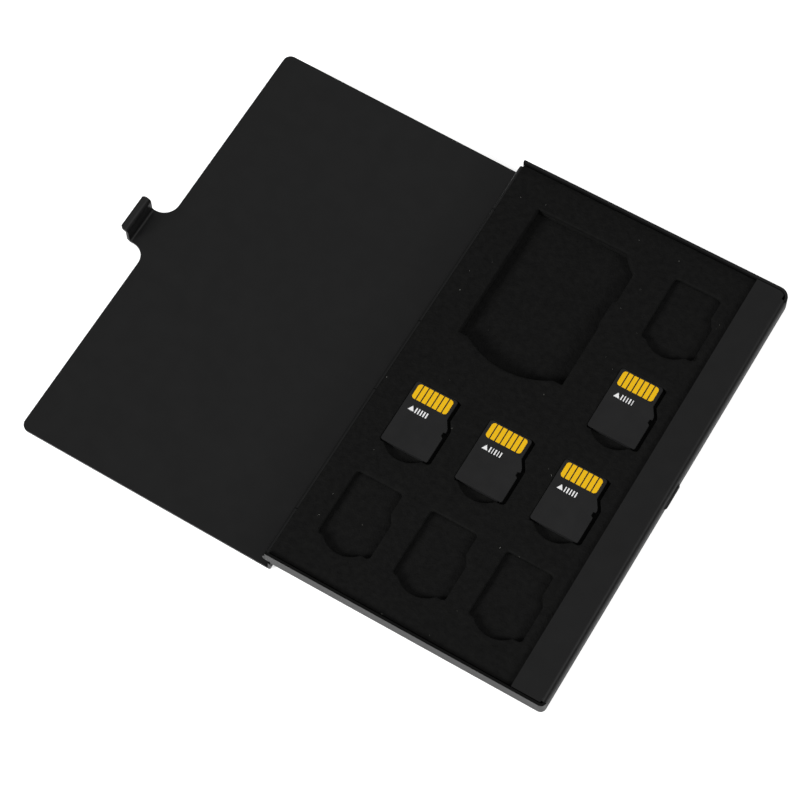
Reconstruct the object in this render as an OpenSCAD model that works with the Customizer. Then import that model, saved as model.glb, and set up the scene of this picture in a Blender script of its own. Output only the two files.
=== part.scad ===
// Memory card case, open and lying on its back: a folded metal tray and lid on a
// rolled hinge, with a foam insert for one full-size card and eight small cards.
// X runs across the hinge towards the catch, Y along the hinge, and Z up.
// The origin is the middle of the closed case, on the underside of the tray.

/* [Case] */
// Length of the case along the hinge
case_l = 105; // [95:1:130]
// Width of the closed case across the hinge
case_w = 65; // [60:1:80]
// Height of the tray's walls
tray_h = 4.5; // [4.5:0.1:7]
// Thickness of the sheet metal
sheet = 0.6; // [0.4:0.05:0.7]
// Outer radius of the folds along the bottom of the walls and the spine
fold_r = 1.0; // [0.8:0.05:1.2]
// Outer radius of the upright corner beside the catch at the near end
corner_near_r = 1.2; // [1.1:0.1:3]
// Outer radius of the upright corner beside the catch at the far end
corner_far_r = 2.5; // [1.1:0.1:3]
// Width of the flat lip beside the catch, with its fold
lip_w = 7.7; // [4:0.1:10]
// Outer radius of the fold between the catch wall and the lip
lip_fold_r = 1.2; // [0.8:0.05:1.5]
// Gap between the lip's ends and the end walls
lip_end_gap = 0.2; // [0.1:0.05:0.5]

/* [Lid] */
// Angle that the lid is opened from closed
lid_open = 178; // [0:1:178]
// Gap between the closed lid and the tray's rim
lid_gap = 0.1; // [0.1:0.05:0.4]
// Distance from the closed lid's free edge to the catch wall
lid_setback = 3.9; // [3:0.1:8]
// Radius of the lid's free corners
lid_corner_r = 1.8; // [0.5:0.1:4]

/* [Hinge] */
// Diameter of the hinge pin
pin_d = 0.8; // [0.6:0.05:1]
// Radial clearance between the pin and the lid's knuckles
pin_play = 0.04; // [0.02:0.01:0.08]
// Radial clearance between the pin and the tray's knuckles
pin_fit = 0.01; // [0.005:0.005:0.02]
// Length of each lid knuckle at the ends
end_knuckle_l = 12; // [8:1:18]
// Length of the lid knuckle in the middle
mid_knuckle_l = 18; // [10:1:24]
// Gap between neighbouring knuckles
knuckle_gap = 0.2; // [0.1:0.05:0.4]
// Distance from the case's ends to the outer knuckles
hinge_inset = 0.4; // [0.2:0.1:1]
// Gap between a knuckle and the sheet that is cut back for it
hinge_gap = 0.12; // [0.08:0.02:0.2]

/* [Latch] */
// Width of the latch tab
tab_w = 9; // [5:0.1:14]
// Radius of the hollow corners where the tab leaves the lid
tab_fillet_r = 3.6; // [0.5:0.1:4]
// Outer radius of the tab's bend over the catch wall
tab_bend_r = 1.2; // [0.8:0.05:1.5]
// Gap between the closed tab and the catch wall
tab_gap = 0.55; // [0.55:0.05:0.8]
// Height of the thumb lip's bend above the tray's underside
thumb_z = 1.5; // [1.5:0.1:2.2]
// Inner radius of the bend into the thumb lip
thumb_bend_r = 0.5; // [0.5:0.1:1.2]
// Angle of the thumb lip out from the tab
thumb_angle = 75; // [30:5:75]
// Length of the thumb lip's flat end
thumb_l = 1.1; // [0.4:0.1:1.4]
// Radius of the thumb lip's corners
thumb_corner_r = 1; // [0.3:0.1:1.2]
// Length of the catch bead
bead_l = 6.5; // [3:0.1:8]
// Radius of the catch bead's curve
bead_r = 0.6; // [0.4:0.05:1]
// Height of the catch bead over the wall
bead_proud = 0.45; // [0.1:0.05:0.45]
// Height of the catch bead above the tray's underside
bead_z = 2.6; // [1.6:0.1:3]

/* [Foam] */
// Thickness of the adhesive sheet
glue_t = 0.1; // [0.05:0.05:0.2]
// Thickness of the top layer of foam, that every pocket passes through
pocket_t = 1.1; // [1:0.1:1.3]
// Thickness of the middle layer of foam, that the full-size pocket passes through
middle_t = 1.1; // [0.8:0.1:1.3]
// Gap between the foam and the lip over it
foam_gap = 0.1; // [0.05:0.05:0.3]
// Gap between the foam and the near end wall
foam_near_gap = 0.3; // [0.1:0.1:1.5]
// Gap between the foam and the far end wall
foam_far_gap = 0.1; // [0.1:0.1:1.5]
// Gap between the foam and the catch wall
foam_side_gap = 0.4; // [0.2:0.1:1]
// Gap between the foam and the knuckles
foam_hinge_gap = 0.15; // [0.1:0.05:0.5]
// Space from the hinge edge of the foam to the first column of pockets
margin_hinge = 6.3; // [3:0.1:8]
// Space from the last column of pockets to the lip
margin_lip = 2.8; // [1:0.1:5]
// Space from the near end of the foam to the first row of pockets
margin_near = 8.8; // [4:0.1:10]
// Space from the last row of pockets to the far end of the foam
margin_far = 7.9; // [4:0.1:10]

/* [Small cards] */
// Length of a small card
card_l = 15; // [14:0.1:16]
// Width of a small card
card_w = 11; // [10:0.1:12]
// Width of a small card's contact end
card_nose_w = 9.7; // [9:0.1:9.8]
// Thickness of a small card at its finger ridge
card_t = 1.0; // [0.9:0.05:1.1]
// Thickness of a small card apart from its finger ridge
card_thin_t = 0.7; // [0.6:0.05:0.8]
// Length of the finger ridge
ridge_l = 1.7; // [1:0.1:2.5]
// Gap between a small card and the sides of its pocket
card_gap = 0.3; // [0.1:0.05:0.6]
// Extra room in the pocket beside a small card's notched side
side_play = 0.5; // [0:0.1:0.8]
// Corner radius of a small card
card_r = 0.5; // [0.3:0.1:0.7]
// Height that the finger relief reaches past the pocket
relief_small = 2; // [0.5:0.1:2.5]
// Number of contact fingers
fingers = 7; // [4:1:8]
// Width of the group of contact fingers
fingers_w = 8.3; // [6:0.1:8.6]
// Length of a contact finger
finger_l = 3.6; // [2:0.1:4]
// Gap between contact fingers
finger_gap = 0.26; // [0.2:0.02:0.4]
// Distance from the card's contact end to the fingers
finger_inset = 0.35; // [0.2:0.05:0.8]
// Thickness of a contact finger
finger_t = 0.15; // [0.1:0.05:0.2]
// Depth of the fingers below the card's face
finger_sink = 0.03; // [0.01:0.01:0.05]
// Gap round a contact finger in its recess
finger_play = 0.01; // [0.005:0.005:0.02]
// Radius of the outer corners of the group of fingers
finger_r = 0.7; // [0.2:0.1:0.9]

/* [Full-size card] */
// Length of the full-size pocket
big_l = 33.6; // [32.4:0.1:34]
// Width of the full-size pocket
big_w = 25; // [24.2:0.1:26]
// Size of the cut corner
big_chamfer = 3.6; // [2:0.1:5]
// Depth of the shallow step in the pocket's side
big_step = 0.7; // [0.2:0.1:1]
// Length of the side beyond the step, with the cut corner
big_step_top = 11; // [8:0.1:14]
// Length of the step
big_step_l = 6.5; // [3:0.1:9]
// Height that the finger relief reaches past the pocket
relief_big = 3; // [1:0.1:4]

/* [Hidden] */
$fn = 48;
eps = 0.01;

// Hinge axis and the circle that the rolled knuckles fill
knuckle_r = pin_d / 2 + pin_play + sheet;
axis_x = knuckle_r - case_w / 2;
axis_z = knuckle_r;
// Reach of the cut-backs round the knuckles
clear_r = knuckle_r + hinge_gap;

// Heights of the closed lid, and of the layers in the tray
lid_under_z = tray_h + lid_gap;
lid_top_z = lid_under_z + sheet;
foam_top_z = tray_h - sheet - foam_gap;
card_seat_z = foam_top_z - pocket_t;
big_floor_z = card_seat_z - middle_t;
foam_floor_z = sheet + glue_t;

// Catch side
side_x = case_w / 2;
lip_x = side_x - lip_w;
lid_edge_x = side_x - lid_setback;
tab_in_x = side_x + tab_gap;
bead_x = side_x + bead_proud - bead_r;
neck_x = tab_in_x + sheet - tab_bend_r;
neck_r = min(tab_fillet_r, neck_x - lid_edge_x);

// Foam outline
foam_x0 = axis_x + foam_gap;
foam_x1 = side_x - max(sheet + foam_side_gap, fold_r);
foam_low_x0 = axis_x + knuckle_r + foam_hinge_gap;
foam_y0 = max(sheet + foam_near_gap, fold_r) - case_l / 2;
foam_y1 = case_l / 2 - sheet - foam_far_gap;
foam_low_y1 = case_l / 2 - max(sheet + foam_far_gap, fold_r);

// Pocket grid: three columns and four rows of small cards, the full-size card
// taking the place of the two far rows in the first two columns
columns = 3;
rows = 4;
slot_w = card_w + 2 * card_gap + side_play;
slot_l = card_l + 2 * card_gap;
column_pitch = (lip_x - foam_x0 - margin_hinge - margin_lip - slot_w) / (columns - 1);
row_pitch = (foam_y1 - foam_y0 - margin_near - margin_far - slot_l) / (rows - 1);
function column_x(i) = foam_x0 + margin_hinge + card_gap + card_w / 2 + i * column_pitch;
function row_y(j) = foam_y0 + margin_near + slot_l / 2 + j * row_pitch;
function is_big(i, j) = i < columns - 1 && j >= rows - 2;
small_slots = [for (j = [0:rows - 1]) for (i = [0:columns - 1])
    if (!is_big(i, j)) [column_x(i), row_y(j)]];
big_x = (foam_x0 + column_x(columns - 1) - card_w / 2 - card_gap) / 2;
big_y = row_y(rows - 1) + slot_l / 2 - big_l / 2;

// Column and row of each card in the case
CARDS = [[0, 1], [1, 1], [2, 1], [2, 2]];

// Knuckles along the hinge: [middle, length], the lid's and the tray's in turn
hinge_half = case_l / 2 - hinge_inset;
lid_knuckles = [
    [end_knuckle_l / 2 - hinge_half, end_knuckle_l],
    [0, mid_knuckle_l],
    [hinge_half - end_knuckle_l / 2, end_knuckle_l]];
tray_knuckle_l = hinge_half - end_knuckle_l - mid_knuckle_l / 2 - 2 * knuckle_gap;
tray_knuckle_y = (hinge_half - end_knuckle_l + mid_knuckle_l / 2) / 2;
tray_knuckles = [[-tray_knuckle_y, tray_knuckle_l], [tray_knuckle_y, tray_knuckle_l]];

// Colours
metal = "#232325";
foam_black = "#17181a";
card_black = "#262628";
gold = "#e3aa33";

// Draws an X-Z outline and gives it a length along Y, round the given middle
module along_y(length, middle = 0) {
    translate([0, middle, 0]) rotate([90, 0, 0])
        linear_extrude(height = length, center = true) children();
}

// A quarter of a ring of sheet metal, in the quadrant that qx and qy point to
module quarter_bend(outer_r, qx, qy) {
    intersection() {
        difference() {
            circle(outer_r);
            circle(outer_r - sheet);
        }
        translate([qx > 0 ? 0 : -outer_r, qy > 0 ? 0 : -outer_r]) square(outer_r);
    }
}

// Outline of a wall that is folded up from the floor. x = 0 is the centre of an
// upright corner, and the outer face is at x = r
module wall_profile(r, height) {
    square([r - fold_r + eps, sheet]);
    translate([r - fold_r, fold_r]) quarter_bend(fold_r, 1, -1);
    translate([r - sheet, fold_r - eps]) square([sheet, height - fold_r + eps]);
}

// Everything that a lid knuckle sweeps as the lid turns
module knuckle_sweep() {
    translate([axis_x, axis_z]) circle(clear_r);
    translate([axis_x - 2 * clear_r, -clear_r]) square([3 * clear_r, axis_z + clear_r]);
}

// A rolled knuckle with its bore
module knuckle(bore_play) {
    translate([axis_x, axis_z]) difference() {
        circle(knuckle_r);
        circle(pin_d / 2 + bore_play);
    }
}

// Radius of the upright corner at the near end (s = 0) or the far end (s = 1), and
// the distance from the middle of the case to the corner's centre along the hinge
function corner_r(s) = s == 0 ? corner_near_r : corner_far_r;
function corner_y(s) = case_l / 2 - corner_r(s);

// Floor, the three walls and their two upright corners
module tray_pan() {
    floor_x = side_x - corner_far_r;
    translate([axis_x, -corner_y(0), 0])
        cube([floor_x - axis_x + eps, corner_y(0) + corner_y(1), sheet]);
    for (s = [0, 1]) mirror([0, 1 - s, 0]) {
        translate([axis_x, corner_y(s), 0]) rotate([90, 0, 90])
            linear_extrude(height = side_x - corner_r(s) - axis_x)
                wall_profile(corner_r(s), tray_h);
        translate([side_x - corner_r(s), corner_y(s), 0])
            rotate_extrude(angle = 90) wall_profile(corner_r(s), tray_h);
    }
    catch_side() translate([floor_x, 0]) wall_profile(corner_far_r, tray_h - lip_fold_r);
}

// Draws an X-Z outline along the straight part of the catch wall
module catch_side() {
    along_y(corner_y(0) + corner_y(1), (corner_y(1) - corner_y(0)) / 2) children();
}

// Plan of the flat lip, which reaches round inside the upright corners
module lip_plan() {
    fold_x = side_x - lip_fold_r;
    for (s = [0, 1]) mirror([0, 1 - s]) {
        x = side_x - corner_r(s);
        y = corner_y(s);
        r = corner_r(s) - sheet - lip_end_gap;
        intersection() {
            translate([lip_x, -eps]) square([fold_x - lip_x + eps, case_l]);
            union() {
                translate([lip_x - 1, -eps]) square([x - lip_x + 1, y + r + eps]);
                translate([x - eps, -eps]) square([case_w, y + eps]);
                translate([x, y]) circle(r);
            }
        }
    }
}

// The catch wall's fold and the flat lip
module tray_lip() {
    catch_side() translate([side_x - lip_fold_r, tray_h - lip_fold_r])
        quarter_bend(lip_fold_r, 1, 1);
    translate([0, 0, tray_h - sheet]) linear_extrude(height = sheet) lip_plan();
}

// Half-round bar with tapered ends that the latch tab snaps over
module catch_bead() {
    taper = bead_r;
    intersection() {
        translate([bead_x, 0, bead_z]) rotate([90, 0, 0]) {
            cylinder(r = bead_r, h = bead_l - 2 * taper, center = true);
            for (s = [0, 1]) mirror([0, 0, s])
                translate([0, 0, bead_l / 2 - taper])
                    cylinder(r1 = bead_r, r2 = bead_r / 2, h = taper);
        }
        translate([side_x - sheet / 2, -bead_l, 0]) cube([bead_r + sheet, 2 * bead_l, tray_h]);
    }
}

module tray_shell() {
    color(metal) {
        difference() {
            tray_pan();
            for (k = lid_knuckles)
                along_y(k[1] + 2 * knuckle_gap, k[0]) knuckle_sweep();
            for (s = [-1, 1])
                along_y(2 * hinge_inset + 2 * eps, s * case_l / 2) knuckle_sweep();
            for (k = tray_knuckles)
                along_y(k[1] + 2 * knuckle_gap, k[0])
                    translate([axis_x, axis_z]) circle(knuckle_r - eps);
        }
        for (k = tray_knuckles) along_y(k[1], k[0]) knuckle(pin_fit);
        tray_lip();
        catch_bead();
    }
}

// Turns the closed lid open about the hinge axis
module opened() {
    translate([axis_x, 0, axis_z]) rotate([0, -lid_open, 0])
        translate([-axis_x, 0, -axis_z]) children();
}

// Plan of the lid's flat plate and the neck of its latch tab
module lid_plan() {
    flat_x = fold_r - case_w / 2;
    corner_x = lid_edge_x - lid_corner_r;
    translate([flat_x, -case_l / 2]) square([corner_x - flat_x, case_l]);
    translate([corner_x - eps, lid_corner_r - case_l / 2])
        square([lid_corner_r + eps, case_l - 2 * lid_corner_r]);
    for (s = [-1, 1]) {
        translate([corner_x, s * (case_l / 2 - lid_corner_r)]) circle(lid_corner_r);
    }
    translate([lid_edge_x - eps, -tab_w / 2]) square([neck_x - lid_edge_x + 2 * eps, tab_w]);
    for (s = [0, 1]) mirror([0, s]) difference() {
        translate([lid_edge_x - eps, tab_w / 2 - eps])
            square([neck_r + eps, neck_r + eps]);
        translate([lid_edge_x + neck_r, tab_w / 2 + neck_r]) circle(neck_r);
    }
}

// Side view of the latch tab: the bend over the wall, the strip and the thumb lip
module tab_profile() {
    ring_r = thumb_bend_r + sheet;
    translate([neck_x, lid_top_z - tab_bend_r]) quarter_bend(tab_bend_r, 1, 1);
    translate([tab_in_x, thumb_z])
        square([sheet, lid_top_z - tab_bend_r - thumb_z + eps]);
    translate([tab_in_x + sheet + thumb_bend_r, thumb_z]) {
        intersection() {
            difference() {
                circle(ring_r);
                circle(thumb_bend_r);
            }
            polygon([[0, 0], [-2 * ring_r, 0], [-2 * ring_r, -2 * ring_r],
                [-2 * ring_r * cos(thumb_angle), -2 * ring_r * sin(thumb_angle)]]);
        }
        rotate(thumb_angle) translate([-ring_r, -thumb_l]) square([sheet, thumb_l + eps]);
    }
}

// The latch tab, with the corners of its thumb lip rounded
module latch_tab() {
    end_x = tab_in_x + (thumb_bend_r + sheet) * (1 - cos(thumb_angle))
        + thumb_l * sin(thumb_angle) + sheet * cos(thumb_angle);
    intersection() {
        along_y(tab_w) tab_profile();
        linear_extrude(height = 2 * lid_top_z) {
            translate([neck_x - 1, -tab_w]) square([end_x - thumb_corner_r - neck_x + 1, 2 * tab_w]);
            for (s = [-1, 1]) translate([end_x - thumb_corner_r, s * (tab_w / 2 - thumb_corner_r)])
                circle(thumb_corner_r);
            translate([end_x - thumb_corner_r - eps, thumb_corner_r - tab_w / 2])
                square([thumb_corner_r + eps, tab_w - 2 * thumb_corner_r]);
        }
    }
}

// Side view of the lid's fold and spine, down to the given height
module spine_profile(bottom_z) {
    translate([fold_r - case_w / 2, lid_top_z - fold_r]) quarter_bend(fold_r, -1, 1);
    translate([-case_w / 2, bottom_z])
        square([sheet, lid_top_z - fold_r - bottom_z + eps]);
}

module lid_shell() {
    color(metal) opened() {
        translate([0, 0, lid_under_z]) linear_extrude(height = sheet) lid_plan();
        latch_tab();
        along_y(case_l) spine_profile(axis_z + clear_r);
        for (k = lid_knuckles) along_y(k[1], k[0]) {
            knuckle(pin_play);
            spine_profile(axis_z);
        }
    }
}

module hinge_pin() {
    color("dimgray") translate([axis_x, 0, axis_z]) rotate([90, 0, 0])
        cylinder(d = pin_d, h = 2 * hinge_half, center = true);
}

// Plan of a layer in the tray, with two corners cut off to clear the tray's
module layer_plan(x0, y1) {
    polygon([[x0, foam_y0], [foam_x1 - corner_near_r, foam_y0],
        [foam_x1, foam_y0 + corner_near_r], [foam_x1, y1 - corner_far_r],
        [foam_x1 - corner_far_r, y1], [x0, y1]]);
}

// A layer as wide as the space between the knuckles and the catch wall
module low_layer(from_z, to_z, y1) {
    translate([0, 0, from_z]) linear_extrude(height = to_z - from_z)
        layer_plan(foam_low_x0, y1);
}

module adhesive_sheet() {
    color("gainsboro") low_layer(sheet, foam_floor_z, foam_low_y1);
}

// Arc of n steps, as points
function arc(x, y, r, from, to, n = 5) =
    [for (i = [0:n]) let(a = from + (to - from) * i / n) [x + r * cos(a), y + r * sin(a)]];

// Outline of a small card, contact end towards +Y, grown by g on every side and by
// side more beside the notch. The notch itself is left out of the pocket
function card_outline(g, side, notched) = let(
        x0 = -card_w / 2 - g,
        x1 = card_w / 2 + g + side,
        nose = card_nose_w - card_w / 2 + g + side,
        y0 = -card_l / 2 - g,
        y1 = card_l / 2 + g,
        r = card_r + g,
        shoulder = card_l / 2 - 4.6,
        slope = x1 - nose)
    concat(
        arc(x0 + r, y1 - r, r, 180, 90),
        arc(nose - r, y1 - r, r, 90, 0),
        [[nose, shoulder], [x1 - 0.2, shoulder - slope - 0.4], [x1, shoulder - slope - 0.9]],
        notched ? [[x1, shoulder - 2.7], [x1 - 0.55, shoulder - 2.9],
            [x1 - 0.55, shoulder - 3.8], [x1, shoulder - 4.1]] : [],
        arc(x1 - r, y0 + r, r, 0, -90),
        arc(x0 + r, y0 + r, r, -90, -180));

// Radius of the arc that spans the given chord and rises by the given height
function arc_radius(chord, rise) = (chord * chord / 4 + rise * rise) / (2 * rise);

// Finger relief below a pocket whose lower edge is at y, over the given chord
module relief(y, chord, rise) {
    r = arc_radius(chord, rise);
    intersection() {
        translate([0, y + r - rise]) circle(r, $fn = 128);
        translate([-chord / 2, y - rise]) square([chord, rise + 1]);
    }
}

module small_pocket() {
    polygon(card_outline(card_gap, side_play, false));
    relief(-card_l / 2 - card_gap, 0.8 * card_w, relief_small);
}

// Full-size pocket, contact end towards +Y, with its stepped side towards +X
module big_pocket() {
    x1 = big_w / 2;
    y1 = big_l / 2;
    step_y1 = y1 - big_step_top;
    step_y0 = step_y1 - big_step_l;
    polygon([[-x1, -y1], [-x1, y1], [x1 - big_chamfer, y1], [x1, y1 - big_chamfer],
        [x1, step_y1], [x1 - big_step, step_y1 - big_step], [x1 - big_step, step_y0],
        [x1 - big_step / 2, step_y0 - big_step], [x1 - big_step / 2, -y1]]);
    relief(-y1, big_w - 5, relief_big);
}

module foam_base() {
    color(foam_black) low_layer(foam_floor_z, big_floor_z, foam_low_y1);
}

module foam_middle_layer() {
    color(foam_black) difference() {
        low_layer(big_floor_z, card_seat_z, foam_y1);
        translate([big_x, big_y, big_floor_z - 1]) linear_extrude(height = middle_t + 2)
            big_pocket();
    }
}

module foam_pocket_layer() {
    color(foam_black) translate([0, 0, card_seat_z]) linear_extrude(height = pocket_t)
        difference() {
            layer_plan(foam_x0, foam_y1);
            for (p = small_slots) translate(p) small_pocket();
            translate([big_x, big_y]) big_pocket();
        }
}

// One contact finger's outline. The outer fingers have a rounded outer corner at
// each end
finger_w = (fingers_w - (fingers - 1) * finger_gap) / fingers;
function finger_x(i) = (i - (fingers - 1) / 2) * (finger_w + finger_gap);
module finger(i, play) {
    intersection() {
        translate([finger_x(i) - finger_w / 2 - play, -play])
            square([finger_w + 2 * play, finger_l + 2 * play]);
        polygon(concat(
            arc(-fingers_w / 2 + finger_r, finger_l - finger_r, finger_r + play, 180, 90),
            arc(fingers_w / 2 - finger_r, finger_l - finger_r, finger_r + play, 90, 0),
            arc(fingers_w / 2 - finger_r, finger_r, finger_r + play, 0, -90),
            arc(-fingers_w / 2 + finger_r, finger_r, finger_r + play, -90, -180)));
    }
}

// Places the fingers on a card that is centred on the origin
module at_fingers() {
    translate([(card_nose_w - card_w) / 2, card_l / 2 - finger_inset - finger_l]) children();
}

module at_card(n) {
    c = CARDS[n - 1];
    translate([column_x(c[0]), row_y(c[1]), card_seat_z]) children();
}

module card_body(n) {
    color(card_black) at_card(n) difference() {
        union() {
            translate([0, 0, card_t - card_thin_t])
                linear_extrude(height = card_thin_t) polygon(card_outline(0, 0, true));
            linear_extrude(height = card_t) intersection() {
                polygon(card_outline(0, 0, true));
                translate([-card_w, -card_l / 2]) square([2 * card_w, ridge_l]);
            }
        }
        translate([0, 0, card_t - finger_t - finger_sink]) at_fingers()
            for (i = [0:fingers - 1]) linear_extrude(height = card_t) finger(i, finger_play);
    }
}

module card_contacts(n) {
    color(gold) at_card(n) translate([0, 0, card_t - finger_t - finger_sink]) at_fingers()
        for (i = [0:fingers - 1]) linear_extrude(height = finger_t) finger(i, 0);
}

tray_shell();
lid_shell();
hinge_pin();
adhesive_sheet();
foam_base();
foam_middle_layer();
foam_pocket_layer();
card_body(1);  // card_1
card_body(2);  // card_2
card_body(3);  // card_3
card_body(4);  // card_4
card_contacts(1);  // card_1_contacts
card_contacts(2);  // card_2_contacts
card_contacts(3);  // card_3_contacts
card_contacts(4);  // card_4_contacts
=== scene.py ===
# %% [markdown]
# # Memory card case
# The case is two folded sheets of black metal on a rolled hinge. Inside lies a block
# of soft foam with one full-size pocket and eight small ones, and four small memory
# cards lie in it, contacts up. The construction model gives every piece its size and
# place. This lesson loads it as a fixed frame, then gives each piece its finish. Blender
# counts in metres, so lengths are written in millimetres and multiplied by mm.

# %% Load the frame
import math

import bmesh
import bpy
from mathutils import Matrix, Vector, noise


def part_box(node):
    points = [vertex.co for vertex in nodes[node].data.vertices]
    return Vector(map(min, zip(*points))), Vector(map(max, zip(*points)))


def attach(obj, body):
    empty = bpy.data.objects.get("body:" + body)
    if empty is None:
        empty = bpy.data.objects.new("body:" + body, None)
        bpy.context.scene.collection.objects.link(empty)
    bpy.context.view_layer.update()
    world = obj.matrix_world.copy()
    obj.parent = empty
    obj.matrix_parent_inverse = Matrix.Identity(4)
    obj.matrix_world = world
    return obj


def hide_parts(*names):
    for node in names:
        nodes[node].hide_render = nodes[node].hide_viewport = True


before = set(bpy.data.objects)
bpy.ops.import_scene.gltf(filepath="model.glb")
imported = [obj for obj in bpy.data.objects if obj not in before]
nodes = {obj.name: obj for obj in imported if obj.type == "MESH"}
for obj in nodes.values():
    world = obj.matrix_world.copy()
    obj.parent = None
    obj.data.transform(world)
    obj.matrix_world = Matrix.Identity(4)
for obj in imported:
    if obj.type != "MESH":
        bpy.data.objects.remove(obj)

mm = 0.001
scene = bpy.context.scene
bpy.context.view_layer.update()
print("CAD nodes:", sorted(nodes))

# %% [markdown]
# ## Camera
# The photograph looks down on the open case from over its near right corner, with a
# long lens, so parallel edges stay nearly parallel. A camera can be placed by eye and
# nudged until the picture fits. Here its place and its three axes were worked out from
# the case's straight edges instead, which fits them to within a pixel. A camera looks
# along its own -Z axis, with +Y up, which gives the signs below.

# %% Camera
camera_place = Vector((102.289, -198.267, 486.674)) * mm
image_right = Vector((0.8583034, 0.5124347, -0.0269439))
image_down = Vector((0.4538225, -0.7825421, -0.4262311))
looking = Vector((-0.2395004, 0.3536078, -0.9042129))
sensor_in_mm = 36
lens_in_mm = 117.093
nearest, farthest = 0.01, 20

camera = bpy.data.objects.new("camera", bpy.data.cameras.new("camera"))
scene.collection.objects.link(camera)
axes = Matrix((image_right, -image_down, -looking)).transposed()
camera.matrix_world = Matrix.Translation(camera_place) @ axes.to_4x4()
camera.data.sensor_width = sensor_in_mm
camera.data.lens = lens_in_mm
camera.data.clip_start = nearest
camera.data.clip_end = farthest
scene.camera = camera
print("camera is", round(camera_place.length, 3), "m from the middle of the tray")

# %% [markdown]
# ## Helpers for nodes
# Every material and tree below either links one node to the next or sets a plain
# number on a socket. feed() does whichever of the two is needed, math_node() adds one
# sum, and colour_mix() blends two colours. They keep the later cells short.

# %% Helpers for nodes
def feed(tree, value, socket):
    if isinstance(value, bpy.types.NodeSocket):
        tree.links.new(value, socket)
    else:
        socket.default_value = value


def math_node(tree, operation, *values):
    node = tree.nodes.new("ShaderNodeMath")
    node.operation = operation
    for value, socket in zip(values, node.inputs):
        feed(tree, value, socket)
    return node.outputs[0]


def colour_mix(tree, first, second, share, blend="MIX"):
    node = tree.nodes.new("ShaderNodeMix")
    node.data_type = "RGBA"
    node.blend_type = blend
    for value, label in ((first, "A"), (second, "B"), (share, "Factor")):
        feed(tree, value, node.inputs[label])
    return node.outputs["Result"]


print("helpers:", feed.__name__, math_node.__name__, colour_mix.__name__)

# %% [markdown]
# ## Floor
# Opened this far, the case can't lie flat: it leans on the fold of the lid's hinge
# edge and on the tray's lower right edge. The floor is laid through those two lines,
# so that nothing hovers. It could be made white by strong lamps, but they would light
# the case too. A pale floor with a little light of its own, which only the camera and
# reflections see, reads white and still takes the soft shadow under the case.

# %% Floor material
floor_grey = 0.70
glow_to_camera = 0.72
glow_in_mirrors = 0.06


def floor_material():
    material = bpy.data.materials.new("white_floor")
    material.use_nodes = True
    tree = material.node_tree
    tree.nodes.clear()
    rays = tree.nodes.new("ShaderNodeLightPath").outputs
    mirrored = math_node(tree, "MAXIMUM", rays["Is Glossy Ray"], rays["Is Transmission Ray"])
    faint = math_node(tree, "MULTIPLY", mirrored, glow_in_mirrors)
    glow = math_node(tree, "MULTIPLY_ADD", rays["Is Camera Ray"], glow_to_camera, faint)
    emission = tree.nodes.new("ShaderNodeEmission")
    tree.links.new(glow, emission.inputs["Strength"])
    diffuse = tree.nodes.new("ShaderNodeBsdfDiffuse")
    diffuse.inputs["Color"].default_value = (floor_grey, floor_grey, floor_grey, 1)
    both = tree.nodes.new("ShaderNodeAddShader")
    tree.links.new(emission.outputs[0], both.inputs[0])
    tree.links.new(diffuse.outputs[0], both.inputs[1])
    out = tree.nodes.new("ShaderNodeOutputMaterial")
    tree.links.new(both.outputs[0], out.inputs["Surface"])
    return material


white_floor = floor_material()
print("floor material:", white_floor.name)

# %% Floor
fold_line = Vector((-31.5, 0, -3.12)) * mm
tray_line = Vector((31.9, 0, 0.02)) * mm
floor_gap = 0.03 * mm
floor_half = 6.0
along = (tray_line - fold_line).normalized()
across = Vector((0, 1, 0))
up = along.cross(across)


def make_floor():
    mesh = bpy.data.meshes.new("floor")
    corners = [fold_line + along * (sx * floor_half) + across * (sy * floor_half) - up * floor_gap
               for sx, sy in ((-1, -1), (1, -1), (1, 1), (-1, 1))]
    mesh.from_pydata(corners, [], [(0, 1, 2, 3)])
    floor = bpy.data.objects.new("floor", mesh)
    scene.collection.objects.link(floor)
    floor.data.materials.append(white_floor)


make_floor()
print("floor slope in degrees:", round(math.degrees(math.atan2(along.z, along.x)), 2))

# %% [markdown]
# ## Studio world
# Dark metal is mostly made of what it reflects, so the world is drawn as a studio that
# is worth mirroring. Overhead it is a quiet grey, and the flat sheets read as one even
# tone. The horizon is dark, which draws a dark line along each outer fold. One pale
# panel hangs above the right side and gives the folds their bright line. A picture of
# a studio would do the same, but a ramp over the height and one soft disc are easier
# to tune.

# %% Sky
sky_levels = [(0.0, 0.09), (0.30, 0.13), (0.60, 0.27), (0.80, 0.29), (1.0, 0.27)]


def sky(tree, direction):
    split = tree.nodes.new("ShaderNodeSeparateXYZ")
    tree.links.new(direction, split.inputs[0])
    ramp = tree.nodes.new("ShaderNodeValToRGB")
    stops = ramp.color_ramp.elements
    stops[0].position, stops[1].position = sky_levels[0][0], sky_levels[-1][0]
    for height, level in sky_levels[1:-1]:
        stops.new(height)
    for stop, (height, level) in zip(stops, sky_levels):
        stop.color = (level, level, level, 1)
    tree.links.new(split.outputs["Z"], ramp.inputs["Fac"])
    return ramp.outputs["Color"]


print("sky levels from the horizon up:", [level for height, level in sky_levels])

# %% Panel
panel_place = Vector((0.5, 0.1, 0.86)).normalized()
panel_edge, panel_core = math.radians(22), math.radians(9)
panel_level = 1.0


def panel(tree, direction):
    towards = tree.nodes.new("ShaderNodeVectorMath")
    towards.operation = "DOT_PRODUCT"
    towards.inputs[1].default_value = panel_place
    tree.links.new(direction, towards.inputs[0])
    soft = tree.nodes.new("ShaderNodeMapRange")
    soft.inputs["From Min"].default_value = math.cos(panel_edge)
    soft.inputs["From Max"].default_value = math.cos(panel_core)
    soft.inputs["To Max"].default_value = panel_level
    tree.links.new(towards.outputs["Value"], soft.inputs["Value"])
    return soft.outputs["Result"]


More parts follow.
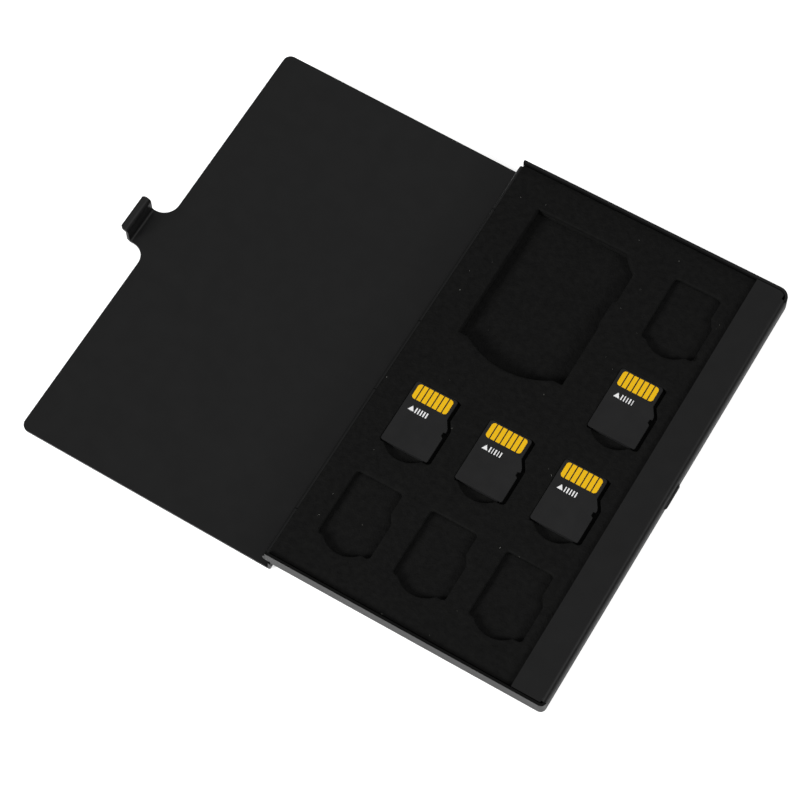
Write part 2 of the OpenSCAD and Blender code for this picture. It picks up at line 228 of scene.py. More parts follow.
print("panel leans from upright by", round(math.degrees(math.acos(panel_place.z))), "degrees")

# %% Studio world
def studio_world():
    world = bpy.data.worlds.new("studio")
    world.use_nodes = True
    tree = world.node_tree
    tree.nodes.clear()
    direction = tree.nodes.new("ShaderNodeTexCoord").outputs["Generated"]
    back = tree.nodes.new("ShaderNodeBackground")
    light = colour_mix(tree, sky(tree, direction), panel(tree, direction), 1.0, "ADD")
    tree.links.new(light, back.inputs["Color"])
    out = tree.nodes.new("ShaderNodeOutputWorld")
    tree.links.new(back.outputs[0], out.inputs["Surface"])
    return world


scene.world = studio_world()
scene.view_settings.view_transform = "Standard"
print("world:", scene.world.name, "with", len(scene.world.node_tree.nodes), "nodes")

# %% [markdown]
# ## Lamps
# In the photograph the pockets are shaded on their near, left and right sides, so the
# light comes in low, mostly from the near left and a little from the right. Two soft
# disc lamps do that. A large lamp overhead would be simpler, but it would leave the
# pockets without shade. The lamps don't mirror in the case, so the sheets stay even.

# %% Lamps
lamp_disc = 0.5
lamps_look_at = Vector((-0.03, 0, 0))


def lamp(name, place, watts):
    light = bpy.data.lights.new(name, "AREA")
    light.shape = "DISK"
    light.size = lamp_disc
    light.energy = watts
    holder = bpy.data.objects.new(name, light)
    scene.collection.objects.link(holder)
    holder.visible_glossy = False
    holder.location = place
    aim = lamps_look_at - Vector(place)
    holder.rotation_euler = aim.to_track_quat("-Z", "Y").to_euler()
    return holder


lamps = [lamp("key", (-0.7, -1.0, 0.6), 20.5), lamp("right", (1.0, -0.1, 0.6), 7.0)]
print("lamps:", [(item.name, item.data.energy) for item in lamps])

# %% [markdown]
# ## Surface effects
# No real surface is quite even. Each small effect is used by several finishes, so it
# is a node group, built once, and every material gives it numbers of its own. The
# groups read Object coordinates, in metres, so a pattern has its real size and moves
# with its piece.

# %% Helper for effect groups
def group_with(name, inputs, outputs):
    tree = bpy.data.node_groups.new(name, "ShaderNodeTree")
    for label, value in inputs:
        socket = tree.interface.new_socket(label, in_out="INPUT", socket_type="NodeSocketFloat")
        socket.default_value = value
    for label in outputs:
        tree.interface.new_socket(label, in_out="OUTPUT", socket_type="NodeSocketFloat")
    return tree, tree.nodes.new("NodeGroupInput"), tree.nodes.new("NodeGroupOutput")


def texture_node(tree, kind, scale, detail=None):
    place = tree.nodes.new("ShaderNodeTexCoord")
    texture = tree.nodes.new(kind)
    tree.links.new(place.outputs["Object"], texture.inputs["Vector"])
    tree.links.new(scale, texture.inputs["Scale"])
    if detail is not None:
        texture.inputs["Detail"].default_value = detail
    return texture


print("helpers:", group_with.__name__, texture_node.__name__)

# %% [markdown]
# ### Grain
# Blasting leaves a faint unevenness on the anodised sheet, and moulded and plated
# surfaces have a finer one. A picture could carry it, but noise needs no file and never
# repeats. The mask mixes fine grain with wide clouds, for colour and roughness. The
# height is the fine grain alone, for the bump.

# %% Grain group
def grain_group():
    tree, given, result = group_with(
        "fine_grain", [("Grain per m", 4000.0), ("Cloud per m", 60.0), ("Cloud share", 0.3)],
        ["Mask", "Height"])
    fine = texture_node(tree, "ShaderNodeTexNoise", given.outputs["Grain per m"], 3)
    cloud = texture_node(tree, "ShaderNodeTexNoise", given.outputs["Cloud per m"], 2)
    share = math_node(tree, "MULTIPLY", cloud.outputs["Fac"], given.outputs["Cloud share"])
    rest = math_node(tree, "SUBTRACT", 1.0, given.outputs["Cloud share"])
    grain = math_node(tree, "MULTIPLY", fine.outputs["Fac"], rest)
    tree.links.new(math_node(tree, "ADD", share, grain), result.inputs["Mask"])
    tree.links.new(fine.outputs["Fac"], result.inputs["Height"])
    return tree


fine_grain = grain_group()
print("group:", fine_grain.name, [item.name for item in fine_grain.interface.items_tree])

# %% [markdown]
# ### Foam cells
# Cut foam shows the open halves of its bubbles. They are far too many to model, so a
# rounded cell pattern gives the pits for the bump, and a coarser noise adds fluff and
# varies the colour.

# %% Foam cell group
cell_rounding = 0.5
fluff_to_cells = 0.35


def cell_group():
    tree, given, result = group_with(
        "foam_cells", [("Cells per m", 2600.0), ("Depth share", 0.5)], ["Mask", "Height"])
    cells = texture_node(tree, "ShaderNodeTexVoronoi", given.outputs["Cells per m"])
    cells.feature = "SMOOTH_F1"
    cells.inputs["Smoothness"].default_value = cell_rounding
    fluff_scale = math_node(tree, "MULTIPLY", given.outputs["Cells per m"], fluff_to_cells)
    fluff = texture_node(tree, "ShaderNodeTexNoise", fluff_scale, 4)
    deep = math_node(tree, "MULTIPLY", cells.outputs["Distance"], given.outputs["Depth share"])
    height = math_node(tree, "ADD", deep, fluff.outputs["Fac"])
    tree.links.new(height, result.inputs["Height"])
    tree.links.new(fluff.outputs["Fac"], result.inputs["Mask"])
    return tree


foam_cells = cell_group()
print("group:", foam_cells.name)

# %% [markdown]
# ### Specks
# Black foam always shows a few pale motes. Each cell of a cell pattern gets one dot at
# its middle, and the cell's own random colour decides which dots are kept.

# %% Speck group
dots_dropped = 0.72


def speck_group():
    tree, given, result = group_with(
        "lint_specks", [("Specks per m", 300.0), ("Size", 0.09)], ["Mask"])
    spots = texture_node(tree, "ShaderNodeTexVoronoi", given.outputs["Specks per m"])
    near = math_node(tree, "LESS_THAN", spots.outputs["Distance"], given.outputs["Size"])
    hue = tree.nodes.new("ShaderNodeSeparateColor")
    tree.links.new(spots.outputs["Color"], hue.inputs[0])
    few = math_node(tree, "GREATER_THAN", hue.outputs[0], dots_dropped)
    tree.links.new(math_node(tree, "MULTIPLY", near, few), result.inputs["Mask"])
    return tree


lint_specks = speck_group()
print("group:", lint_specks.name)

# %% [markdown]
# ### Edge wear and highlight
# Handling polishes the edges of a black surface to a dull grey, and the same lighter
# edges also stand in for a painted highlight on the rounded edges. It could be painted by
# hand. Here the pieces carry an attribute that is 1 on their rounded edges, and noise
# breaks it into patches, so the wear and the painted highlight follow the shape by
# themselves.

# %% Edge wear and highlight group
def wear_and_highlight_group():
    tree, given, result = group_with(
        "edge_wear", [("Amount", 0.6), ("Patches per m", 260.0)], ["Mask"])
    edge = tree.nodes.new("ShaderNodeAttribute")
    edge.attribute_name = "edge"
    patch = texture_node(tree, "ShaderNodeTexNoise", given.outputs["Patches per m"], 3)
    broken = math_node(tree, "MULTIPLY", edge.outputs["Fac"], patch.outputs["Fac"])
    # The mask lightens the rounded edges: partly wear, partly a painted highlight.
    lightened = math_node(tree, "MULTIPLY", broken, given.outputs["Amount"])
    tree.links.new(lightened, result.inputs["Mask"])
    return tree


edge_wear = wear_and_highlight_group()
print("group:", edge_wear.name)

# %% [markdown]
# ## Finishes
# One helper makes a Principled material. Its colour and roughness run between two
# values by an effect's mask, and its bump comes from the effect's height. Values that
# are the same everywhere are set on the shader's own sockets. A second helper lays one
# more effect over the colour, for specks, and for edge wear with a painted highlight.

# %% Helper for finishes
def place_effect(tree, group, settings):
    effect = tree.nodes.new("ShaderNodeGroup")
    effect.node_tree = group
    for label, value in settings.items():
        effect.inputs[label].default_value = value
    return effect.outputs


def finish_material(name, group, settings, low, high, rough, bump, bump_mm, **sockets):
    material = bpy.data.materials.new(name)
    material.use_nodes = True
    tree = material.node_tree
    shader = tree.nodes["Principled BSDF"]
    effect = place_effect(tree, group, settings)
    colour = colour_mix(tree, (*low, 1), (*high, 1), effect["Mask"])
    tree.links.new(colour, shader.inputs["Base Color"])
    spread = tree.nodes.new("ShaderNodeMapRange")
    spread.inputs["To Min"].default_value = rough[0]
    spread.inputs["To Max"].default_value = rough[1]
    tree.links.new(effect["Mask"], spread.inputs["Value"])
    tree.links.new(spread.outputs["Result"], shader.inputs["Roughness"])
    relief = tree.nodes.new("ShaderNodeBump")
    relief.inputs["Strength"].default_value = bump
    relief.inputs["Distance"].default_value = bump_mm * mm
    tree.links.new(effect["Height"], relief.inputs["Height"])
    tree.links.new(relief.outputs["Normal"], shader.inputs["Normal"])
    for label, value in sockets.items():
        shader.inputs[label.replace("_", " ")].default_value = value
    return material


print("helpers:", place_effect.__name__, finish_material.__name__)

# %% Helper for a second effect
def lay_over(material, group, settings, tint):
    tree = material.node_tree
    base = tree.nodes["Principled BSDF"].inputs["Base Color"]
    effect = place_effect(tree, group, settings)
    under = base.links[0].from_socket
    tree.links.new(colour_mix(tree, under, (*tint, 1), effect["Mask"]), base)


print("helper:", lay_over.__name__)

# %% [markdown]
# ### Metal and film
# The sheets are black all through their coating, with a satin gloss. Their colour is
# close to black, and the grey that is seen is the studio's reflection, which the
# specular level and the roughness set. The rims of the tray's end walls get painted
# shade: a darker colour, rougher and with less gloss. The hinge pin is bare drawn wire,
# and the film under the foam is pale and yellowish.

# %% Sheet, shaded rim, pin and film
black_sheet = finish_material(
    "black_anodised_sheet", fine_grain,
    {"Grain per m": 9000.0, "Cloud per m": 45.0, "Cloud share": 0.35},
    low=(0.0040, 0.0040, 0.0041), high=(0.0056, 0.0056, 0.0057),
    rough=(0.27, 0.36), bump=0.22, bump_mm=0.005, Specular_IOR_Level=0.42)
# Lighter sheet edges: partly wear, partly a painted highlight.
lay_over(black_sheet, edge_wear, {"Amount": 0.3}, (0.016, 0.016, 0.016))
# Painted shade for the tray's rims: a darker colour, rougher and less glossy than the sheet.
shaded_rim_finish = finish_material(
    "rim_painted_shade", fine_grain,
    {"Grain per m": 12000.0, "Cloud per m": 400.0, "Cloud share": 0.4},
    low=(0.0030, 0.0030, 0.0030), high=(0.0052, 0.0052, 0.0050),
    rough=(0.60, 0.75), bump=0.4, bump_mm=0.01, Specular_IOR_Level=0.12)
pin_finish = finish_material(
    "drawn_steel_wire", fine_grain,
    {"Grain per m": 6000.0, "Cloud per m": 300.0, "Cloud share": 0.3},
    low=(0.30, 0.30, 0.31), high=(0.42, 0.42, 0.43),
    rough=(0.3, 0.45), bump=0.3, bump_mm=0.006, Metallic=1.0)
film_finish = finish_material(
    "adhesive_film", fine_grain,
    {"Grain per m": 3000.0, "Cloud per m": 100.0, "Cloud share": 0.5},
    low=(0.50, 0.49, 0.45), high=(0.62, 0.61, 0.56),
    rough=(0.3, 0.5), bump=0.2, bump_mm=0.01)
print("metal and film:", [m.name for m in (black_sheet, shaded_rim_finish, pin_finish, film_finish)])

# %% [markdown]
# ### Foam and cards
# The foam is matt and a little darker than the sheets, with strong relief and specks.
# A plain black would do for its colour, but cut foam is cloudy. The cards are moulded
# plastic, slightly paler than the sheets, and their edges are lighter too: partly wear,
# partly a painted highlight.

# %% Foam and card
foam_finish = finish_material(
    "soft_black_foam", foam_cells, {"Cells per m": 2400.0, "Depth share": 0.6},
    low=(0.0046, 0.0046, 0.0046), high=(0.0108, 0.0108, 0.0105),
    rough=(0.92, 1.0), bump=0.8, bump_mm=0.12, Specular_IOR_Level=0.05)
lay_over(foam_finish, lint_specks, {"Specks per m": 230.0, "Size": 0.035}, (0.05, 0.05, 0.045))
card_finish = finish_material(
    "card_black_plastic", fine_grain,
    {"Grain per m": 14000.0, "Cloud per m": 200.0, "Cloud share": 0.3},
    low=(0.0090, 0.0090, 0.0093), high=(0.0122, 0.0122, 0.0125),
    rough=(0.5, 0.62), bump=0.3, bump_mm=0.006, Specular_IOR_Level=0.24)
# Lighter card edges: partly wear, partly a painted highlight.
lay_over(card_finish, edge_wear, {"Amount": 0.35}, (0.03, 0.03, 0.03))
print("foam and card:", foam_finish.name, card_finish.name)

# %% [markdown]
# ### Gold, print and lint
# The contacts are plated gold with a satin face. As a full metal they would mirror the
# grey studio and turn brown, so most of their colour is in the base colour and little
# is left to reflection. The print is a flat white ink, and the lint is a pale fibre.

# %% Gold, print and lint
gold_finish = finish_material(
    "gold_plating", fine_grain,
    {"Grain per m": 12000.0, "Cloud per m": 500.0, "Cloud share": 0.5},
    low=(0.86, 0.49, 0.0075), high=(0.95, 0.56, 0.015),
    rough=(0.34, 0.46), bump=0.2, bump_mm=0.004, Metallic=0.2, Specular_IOR_Level=0.15)
print_finish = finish_material(
    "white_print", fine_grain,
    {"Grain per m": 20000.0, "Cloud per m": 900.0, "Cloud share": 0.4},
    low=(0.72, 0.72, 0.72), high=(0.86, 0.86, 0.86),
    rough=(0.5, 0.65), bump=0.2, bump_mm=0.003)
lint_finish = finish_material(
    "pale_lint", fine_grain,
    {"Grain per m": 9000.0, "Cloud per m": 2000.0, "Cloud share": 0.5},
    low=(0.16, 0.16, 0.15), high=(0.30, 0.30, 0.28),
    rough=(0.85, 1.0), bump=0.2, bump_mm=0.01)
print("finishes and floor:", len(bpy.data.materials))

# %% [markdown]
# ## Copies of the construction model
# The construction model's meshes stay as they are, as loose triangles. A piece that
# needs more is a copy: its doubled points are merged, areas that are flat within half
# a degree can become single faces, and modifiers finish the shape. applied() then
# keeps the shape that the modifiers give as a plain mesh, because every piece has to
# be one before it is given to the frame.

# %% Helpers for copies
merge_distance = 0.0005 * mm
flat_within = 0.5


def merged_copy(node, flat_deg):
    work = bmesh.new()
    work.from_mesh(nodes[node].data)
    bmesh.ops.remove_doubles(work, verts=work.verts, dist=merge_distance)
    if flat_deg:
        bmesh.ops.dissolve_limit(work, angle_limit=math.radians(flat_deg),
                                 verts=work.verts, edges=work.edges)
    mesh = bpy.data.meshes.new(node)
    work.to_mesh(mesh)
    work.free()
    return mesh


def new_piece(name, mesh):
    piece = bpy.data.objects.new(name, mesh)
    scene.collection.objects.link(piece)
    return piece


def applied(piece):
    seen = piece.evaluated_get(bpy.context.evaluated_depsgraph_get())
    mesh = bpy.data.meshes.new_from_object(seen)
    piece.modifiers.clear()
    piece.data = mesh
    return mesh


print("helpers:", merged_copy.__name__, new_piece.__name__, applied.__name__)

# %% [markdown]
# ## Rounded edges
# The construction model has perfectly sharp edges. A real sheet has an edge a few
# hundredths of a millimetre round, and that is what catches the light. Rounding could
# be faked in the shader, but then the exported model would lose it, so a narrow Bevel
# modifier makes it. The bevel puts its own faces in a second material slot, which
# tells where the edges are. mark_edges() keeps that as the attribute for the wear and
# the painted highlight on the edges.

# %% Helpers for rounded edges
bevel_slot = 1
sheet_edge = {"flat_deg": flat_within, "round_mm": 0.07, "steps": 2, "angle": 32,
              "keep_sharp": True}
card_edge = {"flat_deg": 0, "round_mm": 0.04, "steps": 1, "angle": 50,
             "keep_sharp": False}


def mark_edges(mesh):
    edge = mesh.attributes.new("edge", "FLOAT", "POINT")
    lightened = [0.0] * len(mesh.vertices)
    # Marks the rounded edges that the overlay lightens: wear and a painted highlight.
    for face in mesh.polygons:
        if face.material_index == bevel_slot:
            for index in face.vertices:
                lightened[index] = 1.0
        face.material_index = 0
    edge.data.foreach_set("value", lightened)


def round_edges(piece, edge):
    bevel = piece.modifiers.new("edge", "BEVEL")
    bevel.width = edge["round_mm"] * mm
    bevel.segments = edge["steps"]
    bevel.limit_method = "ANGLE"
    bevel.angle_limit = math.radians(edge["angle"])
    bevel.material = bevel_slot
    even = piece.modifiers.new("even", "WEIGHTED_NORMAL")
    even.keep_sharp = edge["keep_sharp"]
    even.weight = 100


print("edge rounding in mm:", sheet_edge["round_mm"], card_edge["round_mm"])

# %% Helper for edged copies
def edged_copy(node, name, body, slot, material, edge):
    piece = new_piece(name, merged_copy(node, edge["flat_deg"]))
    for index in range(bevel_slot + 1):
        piece.data.materials.append(material)
    round_edges(piece, edge)
    mesh = applied(piece)
    mark_edges(mesh)
    mesh.materials.clear()
    mesh.materials.append(material)
    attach(piece, body)
    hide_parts(node)
    return piece


print("helper:", edged_copy.__name__)

# %% [markdown]
# ## Tray and lid
# Both are one sheet, folded and rolled at the hinge. Every fold, knuckle and cut is
# already in the construction model, so redrawing them here could only put them in the
# wrong place. Each is an edged copy with the black finish.

# %% Tray and lid
tray = edged_copy("tray_shell", "tray_sheet", "tray", "shell", black_sheet, sheet_edge)
lid = edged_copy("lid_shell", "lid_sheet", "lid", "shell", black_sheet, sheet_edge)
print("faces:", {piece.name: len(piece.data.polygons) for piece in (tray, lid)})

# %% [markdown]
# ## Shaded rim
# The upper rims of the tray's end walls are the sheet's cut edge. They get painted
# shade: a darker finish, rougher and less glossy, so they read darker. A texture could
# darken them, but a second finish on those few faces is simpler and sharp. They are
# picked by where they lie: at the top, and within a sheet's thickness of the ends.

# %% Painted shade on the tray's rim
rim_depth = 0.12 * mm
rim_width = 0.62 * mm
# Painted shade: the rim faces take the darker, less glossy finish.
tray.data.materials.append(shaded_rim_finish)
rim_top = max(v.co.z for v in tray.data.vertices) - rim_depth
rim_y = max(v.co.y for v in tray.data.vertices) - rim_width
rim_faces = [face for face in tray.data.polygons
             if face.center.z > rim_top and abs(face.center.y) > rim_y]
for face in rim_faces:
    face.material_index = 1
print("rim faces:", len(rim_faces))

# %% [markdown]
# ## Pin and film
# The hinge pin is a wire inside the knuckles, and the adhesive film lies under the
# foam. Both hardly show, so they keep the construction model's mesh and only get a
# finish.

# %% Pin and film
for node, material in (("hinge_pin", pin_finish), ("adhesive_sheet", film_finish)):
    nodes[node].data.materials.clear()
    nodes[node].data.materials.append(material)
    print(node, "has", nodes[node].data.materials[0].name)

# %% [markdown]
# ## Cards
# A card is a moulded body with a ridge, a notch and seven recesses for its contact
# fingers. Merging a face with holes into one polygon would break it, so the card keeps
# its triangles and only gets the rounded edges. The contacts are so small that they
# stay as the construction model has them.

# %% Card bodies and contacts
card_numbers = range(1, 5)


def card_piece(number):
    piece = edged_copy(f"card_{number}", f"card_body_{number}", f"small_card_{number}",
                       "card", card_finish, card_edge)
    pads = nodes[f"card_{number}_contacts"]
    pads.data.materials.clear()
    pads.data.materials.append(gold_finish)
    return piece


cards = [card_piece(number) for number in card_numbers]
print("faces of each card:", [len(card.data.polygons) for card in cards])

# %% [markdown]
# ## Print on the cards
# Each card carries a small white print under its contacts. Here it is an arrow that
# points to the end that goes in first, and a row of bars. The bars could be placed one
# by one, but they repeat along a line, which is a job for Geometry Nodes: one bar is
# made once and placed on the points of a line, with a random width from a fixed seed.

# %% Helpers for geometry trees
def geometry_tree(name, inputs):
    tree = bpy.data.node_groups.new(name, "GeometryNodeTree")
    tree.interface.new_socket("Geometry", in_out="INPUT", socket_type="NodeSocketGeometry")
    for label, kind, value in inputs:
        socket = tree.interface.new_socket(label, in_out="INPUT", socket_type=kind)
        socket.default_value = value
    tree.interface.new_socket("Geometry", in_out="OUTPUT", socket_type="NodeSocketGeometry")
    return tree, tree.nodes.new("NodeGroupInput"), tree.nodes.new("NodeGroupOutput")


def combine(tree, x, y, z):
    node = tree.nodes.new("ShaderNodeCombineXYZ")
    for label, value in zip("XYZ", (x, y, z)):
        feed(tree, value, node.inputs[label])
    return node.outputs[0]


def random_share(tree, given, lowest, highest):
    node = tree.nodes.new("FunctionNodeRandomValue")
    float_min, float_max = node.inputs[2], node.inputs[3]
    float_min.default_value = lowest
    float_max.default_value = highest
    tree.links.new(given.outputs["Seed"], node.inputs["Seed"])
    return node.outputs[1]


print("helpers:", geometry_tree.__name__, combine.__name__, random_share.__name__)

# %% [markdown]
# ### Grown pieces
# A tree ends in Realize Instances and Set Material, because the export drops
# instances. grown() puts a tree on a start mesh, sets its inputs by their identifiers,
# and keeps what grows as a plain mesh. The tree could stay live as a modifier, but the
# frame asks for plain meshes.

# %% Helpers for grown pieces
def finish_tree(tree, shape, result, material):
    real = tree.nodes.new("GeometryNodeRealizeInstances")
    tree.links.new(shape, real.inputs["Geometry"])
    paint = tree.nodes.new("GeometryNodeSetMaterial")
    paint.inputs["Material"].default_value = material
    tree.links.new(real.outputs["Geometry"], paint.inputs["Geometry"])
    tree.links.new(paint.outputs["Geometry"], result.inputs["Geometry"])


def grown(name, tree, start_mesh, values):
    piece = new_piece(name, start_mesh)
    modifier = piece.modifiers.new("grow", "NODES")
    modifier.node_group = tree
    for item in tree.interface.items_tree:
        if item.in_out == "INPUT" and item.name in values:
            modifier[item.identifier] = values[item.name]
    applied(piece)
    return piece


print("helpers:", finish_tree.__name__, grown.__name__)

# %% Bars and arrow
bar_shares = (0.6, 1.35)
arrow_to_height = 0.62
arrow_place = (-1.05 * mm, -0.12 * mm, 0)


def print_bars(tree, given):
    sizes = given.outputs
    row = tree.nodes.new("GeometryNodeMeshLine")
    tree.links.new(sizes["Bars"], row.inputs["Count"])
    tree.links.new(combine(tree, sizes["Pitch"], 0.0, 0.0), row.inputs["Offset"])
    bar = tree.nodes.new("GeometryNodeMeshCube")
    tree.links.new(combine(tree, sizes["Bar width"], sizes["Height"], sizes["Thickness"]),
                   bar.inputs["Size"])
    place = tree.nodes.new("GeometryNodeInstanceOnPoints")
    tree.links.new(row.outputs["Mesh"], place.inputs["Points"])
    tree.links.new(bar.outputs["Mesh"], place.inputs["Instance"])
    width = random_share(tree, given, *bar_shares)
    tree.links.new(combine(tree, width, 1.0, 1.0), place.inputs["Scale"])
    return place.outputs["Instances"]


def print_arrow(tree, given):
    arrow = tree.nodes.new("GeometryNodeMeshCylinder")
    arrow.inputs["Vertices"].default_value = 3
    tree.links.new(math_node(tree, "MULTIPLY", given.outputs["Height"], arrow_to_height),
                   arrow.inputs["Radius"])
    tree.links.new(given.outputs["Thickness"], arrow.inputs["Depth"])
    turn = tree.nodes.new("GeometryNodeTransform")
    turn.inputs["Rotation"].default_value = (0, 0, math.radians(90))
    turn.inputs["Translation"].default_value = arrow_place
    tree.links.new(arrow.outputs["Mesh"], turn.inputs["Geometry"])
    return turn.outputs["Geometry"]


print("arrow is a three-sided cylinder,", arrow_to_height, "of the print's height in radius")

# %% Print tree
decimal, whole = "NodeSocketFloat", "NodeSocketInt"


def print_tree():
    tree, given, result = geometry_tree("print_marks", [
        ("Bars", whole, 5), ("Pitch", decimal, 0.62 * mm), ("Bar width", decimal, 0.24 * mm),
        ("Height", decimal, 1.25 * mm), ("Thickness", decimal, 0.02 * mm), ("Seed", whole, 3)])
    both = tree.nodes.new("GeometryNodeJoinGeometry")
    for part in (print_arrow(tree, given), print_bars(tree, given)):
        tree.links.new(part, both.inputs["Geometry"])
    finish_tree(tree, both.outputs["Geometry"], result, print_finish)
    return tree


print_marks = print_tree()
print("tree:", print_marks.name, "nodes", len(print_marks.nodes))

# %% Print on each card
print_left = 2.3 * mm
print_to_contacts = 1.45 * mm

for card in card_numbers:
    lo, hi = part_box(f"card_{card}")
    marks = grown(f"card_print_{card}", print_marks,
                  bpy.data.meshes.new("start"), {"Seed": 2 + card})
    marks.data.transform(Matrix.Translation(
        ((lo.x + hi.x) / 2 - print_left, (lo.y + hi.y) / 2 + print_to_contacts, hi.z)))
    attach(marks, f"small_card_{card}")
print("print faces on one card:", len(marks.data.polygons))

# %% [markdown]
# ## Grip round the cards
# A card's pocket in real foam is a little small, so that it grips the card. Here the
# construction model leaves a gap. It could be closed by a smaller pocket in the model,
# but the card has to slide freely there. So only the visible foam is drawn towards
# each card: the wall on the hinge side and the far wall, less and less with the
# distance from the card.

# %% Grip round the cards
grip = 0.24 * mm
grip_from = 0.3 * mm
grip_fades = 1.0 * mm
card_boxes = [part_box(f"card_{card}") for card in card_numbers]


def fade(distance):
    if distance <= 0:
        return 0.0
    return min(1.0, max(0.0, 1.0 - (distance - grip_from) / grip_fades))


def gripped(place):
    for lo, hi in card_boxes:
        beside = lo.y - grip_fades < place.y < hi.y + grip_fades
        beyond = lo.x - grip_fades < place.x < hi.x
        if beside and place.x < lo.x:
            place.x += grip * fade(lo.x - place.x)
        if beyond and place.y > hi.y:
            place.y -= grip * fade(place.y - hi.y)


print("gap left by the grip in mm:", round((grip_from - grip) / mm, 2))

# %% [markdown]
# ## Foam
# The insert is three die-cut layers of soft foam, glued in a stack. Cut foam has
# slightly rounded lips round each pocket and is never quite flat. It could be sculpted
# by hand. Here each layer is a copy of its node with softened edges, cut into a grid
# and moved by a smooth noise of a few hundredths of a millimetre, so that pockets and
# walls keep their places. Along the hinge the top layer's edge is drawn down round the
# knuckles in a quarter circle, and closer cuts there carry the curve.

# %% Soft edges and grid
curve_cuts = (0.1, 0.2, 0.35, 0.5, 0.7, 1.0)
cut_tolerance = 1e-7


def soften(piece, round_mm):
    bevel = piece.modifiers.new("soft_edge", "BEVEL")
    bevel.width = round_mm * mm
    bevel.segments = 3
    bevel.limit_method = "ANGLE"
    bevel.angle_limit = math.radians(60)
    bevel.use_clamp_overlap = False
    return applied(piece)


def cut_grid(work, lo, hi, grid_mm, droop_mm):
    cuts = [(0, lo.x + share * droop_mm * mm) for share in curve_cuts if droop_mm]
    for axis in (0, 1):
        lines = int((hi[axis] - lo[axis]) / (grid_mm * mm))
        cuts += [(axis, lo[axis] + line * grid_mm * mm) for line in range(1, lines)]
    for axis, place in cuts:
        normal = Vector((1, 0, 0)) if axis == 0 else Vector((0, 1, 0))
        everything = work.verts[:] + work.edges[:] + work.faces[:]
        bmesh.ops.bisect_plane(work, geom=everything, plane_co=normal * place,
                               plane_no=normal, dist=cut_tolerance)
    return len(cuts)


print("cuts for the drawn-down edge:", len(curve_cuts))

# %% Top of a foam layer
waves_per_m = 90
wave_lean = 0.4
thinnest = 0.08 * mm


def move_top(place, lo, wave_mm, droop_mm):
    inwards = min(max(lo.x + droop_mm * mm - place.x, 0.0), droop_mm * mm)
    place.z += wave_mm * mm * (noise.noise(place * waves_per_m) - wave_lean)
    place.z -= droop_mm * mm - math.sqrt((droop_mm * mm) ** 2 - inwards ** 2)
    place.z = max(place.z, lo.z + thinnest)


print("foam is never thinner than", round(thinnest / mm, 2), "mm")

# %% Foam layers
def foam_layer(node, name, round_mm, grid_mm, wave_mm, droop_mm=0.0):
    piece = new_piece(name, merged_copy(node, flat_within))
    mesh = soften(piece, round_mm)
    work = bmesh.new()
    work.from_mesh(mesh)
    lo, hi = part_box(node)
    cuts = cut_grid(work, lo, hi, grid_mm, droop_mm)
    for vertex in work.verts:
        if vertex.co.z > (lo.z + hi.z) / 2:
            move_top(vertex.co, lo, wave_mm, droop_mm)
        if node == "foam_pocket_layer":
            gripped(vertex.co)
    work.to_mesh(mesh)
    work.free()
    mesh.materials.clear()
    mesh.materials.append(foam_finish)
    mesh.shade_smooth()
    mesh.set_sharp_from_angle(angle=math.radians(50))
    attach(piece, "tray")
    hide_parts(node)
    print(name, "cuts", cuts, "faces", len(mesh.polygons))
    return piece


foam_top = foam_layer("foam_pocket_layer", "foam_top",
                      round_mm=0.3, grid_mm=2.0, wave_mm=0.06, droop_mm=0.8)
foam_middle = foam_layer("foam_middle_layer", "foam_middle",
                         round_mm=0.12, grid_mm=3.0, wave_mm=0.05)
foam_bottom = foam_layer("foam_base", "foam_bottom",
                         round_mm=0.1, grid_mm=3.0, wave_mm=0.05)

# %% [markdown]
# ## Lint
# Black foam always carries a few pale fibres. They could be a particle system, but its
# instances wouldn't export. A Geometry Nodes tree scatters short bent fibres over the
# foam's upward faces, each turned and sized at random from a fixed seed. A fibre is a
# tube of four sides that bends in four steps, because it is seen only as a dot.

# %% Bent fibre
bow_to_length = 0.4


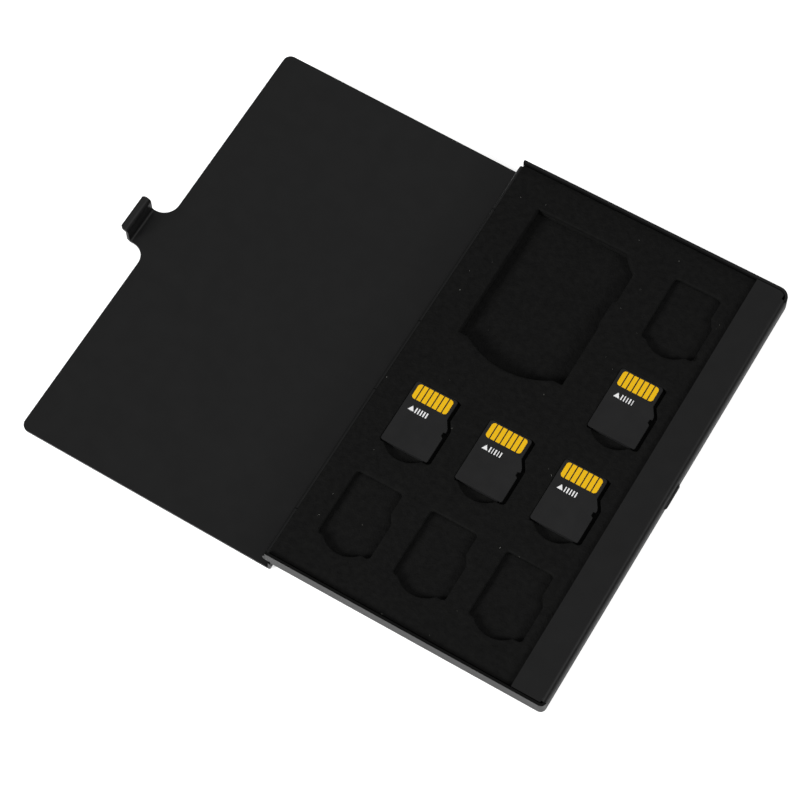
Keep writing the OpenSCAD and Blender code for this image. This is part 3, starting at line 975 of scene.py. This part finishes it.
def bent_fibre(tree, given):
    length = given.outputs["Length"]
    half = math_node(tree, "MULTIPLY", length, 0.5)
    back = math_node(tree, "MULTIPLY", length, -0.5)
    bow = math_node(tree, "MULTIPLY", length, bow_to_length)
    fibre = tree.nodes.new("GeometryNodeCurveQuadraticBezier")
    fibre.inputs["Resolution"].default_value = 4
    for end, place in (("Start", (back, 0.0, 0.0)), ("Middle", (0.0, bow, bow)),
                       ("End", (half, 0.0, 0.0))):
        tree.links.new(combine(tree, *place), fibre.inputs[end])
    ring = tree.nodes.new("GeometryNodeCurvePrimitiveCircle")
    ring.inputs["Resolution"].default_value = 4
    tree.links.new(math_node(tree, "MULTIPLY", given.outputs["Thickness"], 0.5),
                   ring.inputs["Radius"])
    tube = tree.nodes.new("GeometryNodeCurveToMesh")
    tube.inputs["Fill Caps"].default_value = True
    tree.links.new(fibre.outputs["Curve"], tube.inputs["Curve"])
    tree.links.new(ring.outputs["Curve"], tube.inputs["Profile Curve"])
    return tube.outputs["Mesh"]


print("a fibre bows by", bow_to_length, "of its length")

# %% Where the lint lies
upright = 0.95
tilt = 0.15


def random_turn(tree, given):
    turned = tree.nodes.new("FunctionNodeRandomValue")
    turned.data_type = "FLOAT_VECTOR"
    largest = turned.inputs[1]
    largest.default_value = (tilt, tilt, 2 * math.pi)
    tree.links.new(given.outputs["Seed"], turned.inputs["Seed"])
    return turned.outputs[0]


def lint_points(tree, given):
    facing = tree.nodes.new("GeometryNodeInputNormal")
    parts = tree.nodes.new("ShaderNodeSeparateXYZ")
    tree.links.new(facing.outputs["Normal"], parts.inputs[0])
    upward = math_node(tree, "GREATER_THAN", parts.outputs["Z"], upright)
    scatter = tree.nodes.new("GeometryNodeDistributePointsOnFaces")
    for socket, label in ((given.outputs["Geometry"], "Mesh"), (upward, "Selection"),
                          (given.outputs["Motes per m2"], "Density"),
                          (given.outputs["Seed"], "Seed")):
        tree.links.new(socket, scatter.inputs[label])
    return scatter.outputs["Points"]


print("lint lies where the foam leans less than",
      round(math.degrees(math.acos(upright))), "degrees")

# %% Lint tree
lint_sizes = (0.5, 1.4)


def lint_tree():
    tree, given, result = geometry_tree("lint_on_foam", [
        ("Motes per m2", decimal, 7000.0), ("Length", decimal, 0.3 * mm),
        ("Thickness", decimal, 0.04 * mm), ("Seed", whole, 7)])
    place = tree.nodes.new("GeometryNodeInstanceOnPoints")
    for socket, label in ((lint_points(tree, given), "Points"),
                          (bent_fibre(tree, given), "Instance"),
                          (random_turn(tree, given), "Rotation"),
                          (random_share(tree, given, *lint_sizes), "Scale")):
        tree.links.new(socket, place.inputs[label])
    finish_tree(tree, place.outputs["Instances"], result, lint_finish)
    return tree


lint_on_foam = lint_tree()
print("tree:", lint_on_foam.name, "nodes", len(lint_on_foam.nodes))

# %% Lint on the foam
lint = grown("foam_lint", lint_on_foam, foam_top.data.copy(), {"Seed": 7})
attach(lint, "tray")
print("lint faces:", len(lint.data.polygons))
